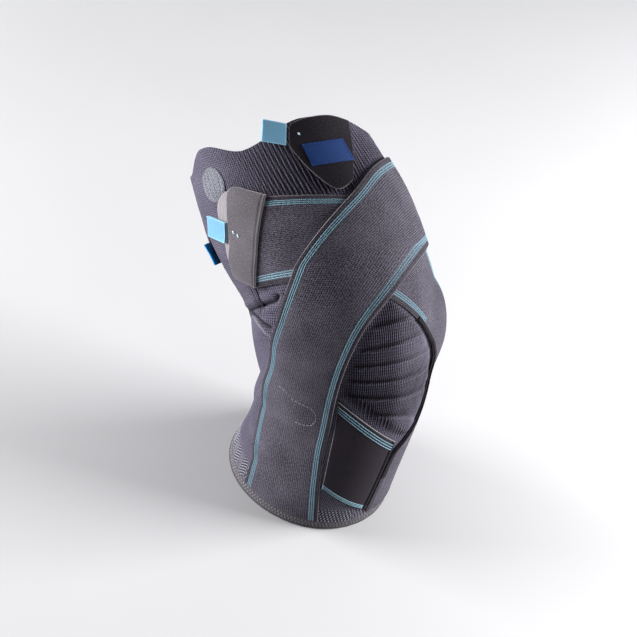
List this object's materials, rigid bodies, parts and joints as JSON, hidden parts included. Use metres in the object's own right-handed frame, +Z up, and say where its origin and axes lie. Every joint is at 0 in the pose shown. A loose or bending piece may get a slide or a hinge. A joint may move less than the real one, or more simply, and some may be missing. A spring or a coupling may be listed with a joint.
{
  "type": "knee brace",
  "caption": "Elastic knit knee brace with crossing straps, peel-back hook tabs, blue pull ribbons and hinged side stays, bent as worn.",
  "frame": {"origin": "centre of the bottom opening, in the plane of the bottom edge", "axes": "+Z up the shin, +X to the front of the knee, -Y to the outer side of the leg"},
  "size_m": [0.2183, 0.1738, 0.2939],
  "materials": {
    "knit": "ribbed elastic knit",
    "hem": "rolled knit edge",
    "strap": "woven elastic webbing",
    "silicone": "soft silicone",
    "steel": "brushed",
    "washer": "matt",
    "tab": "brushed loop cloth",
    "dark_tab": "brushed loop cloth",
    "pale_hook": "moulded hook tape",
    "dark_hook": "moulded hook tape",
    "pull": "satin ribbon",
    "deep_blue": "satin ribbon",
    "label": "plain woven patch",
    "grip_yarn": "rubbery yarn"
  },
  "bodies": {
    "shin": {"shin_sleeve": "knit", "bottom_hem": "hem", "knee_sleeve": "knit", "shin_panel": "strap", "lateral_strap": "strap", "medial_strap": "strap", "lateral_lower_stay": "steel", "lateral_rivet": "steel", "lateral_washer": "washer", "lateral_lower_pocket": "knit", "medial_lower_stay": "steel", "medial_rivet": "steel", "medial_washer": "washer", "medial_lower_pocket": "knit"},
    "thigh": {"thigh_sleeve": "knit", "top_hem": "hem", "silicone_grip_band": "silicone", "lateral_upper_stay": "steel", "lateral_upper_pocket": "knit", "medial_upper_stay": "steel", "medial_upper_pocket": "knit", "grip_patch": "grip_yarn"},
    "lateral_tab": {"lateral_tab": "tab", "lateral_hook": "pale_hook", "lateral_pull": "pull"},
    "rear_tab": {"rear_tab": "dark_tab", "rear_hook": "pale_hook", "rear_pull": "deep_blue"},
    "front_tab": {"front_tab": "dark_tab", "front_hook": "dark_hook", "front_pull": "pull", "front_label": "label"}
  },
  "joints": [
    {"name": "knee_flexion", "type": "hinge", "parent": "shin", "child": "thigh", "pos_m": [0, -0.00218, 0.14344], "axis": [0, -0.9923, -0.1237], "range_deg": [-50, 50], "deforming": ["knee_sleeve", "lateral_strap", "medial_strap"]},
    {"name": "lateral_tab_peel", "type": "hinge", "parent": "thigh", "child": "lateral_tab", "pos_m": [-0.03424, -0.08534, 0.21824], "axis": [-0.301, 0.0205, 0.9534], "range_deg": [0, 110]},
    {"name": "rear_tab_peel", "type": "hinge", "parent": "thigh", "child": "rear_tab", "pos_m": [-0.12296, -0.03223, 0.14539], "axis": [0.7482, 0.2369, -0.6197], "range_deg": [0, 90]},
    {"name": "front_tab_peel", "type": "hinge", "parent": "thigh", "child": "front_tab", "pos_m": [-0.0502, -0.0159, 0.2796], "axis": [-0.8799, 0.2879, 0.3781], "range_deg": [0, 110]}
  ]
}
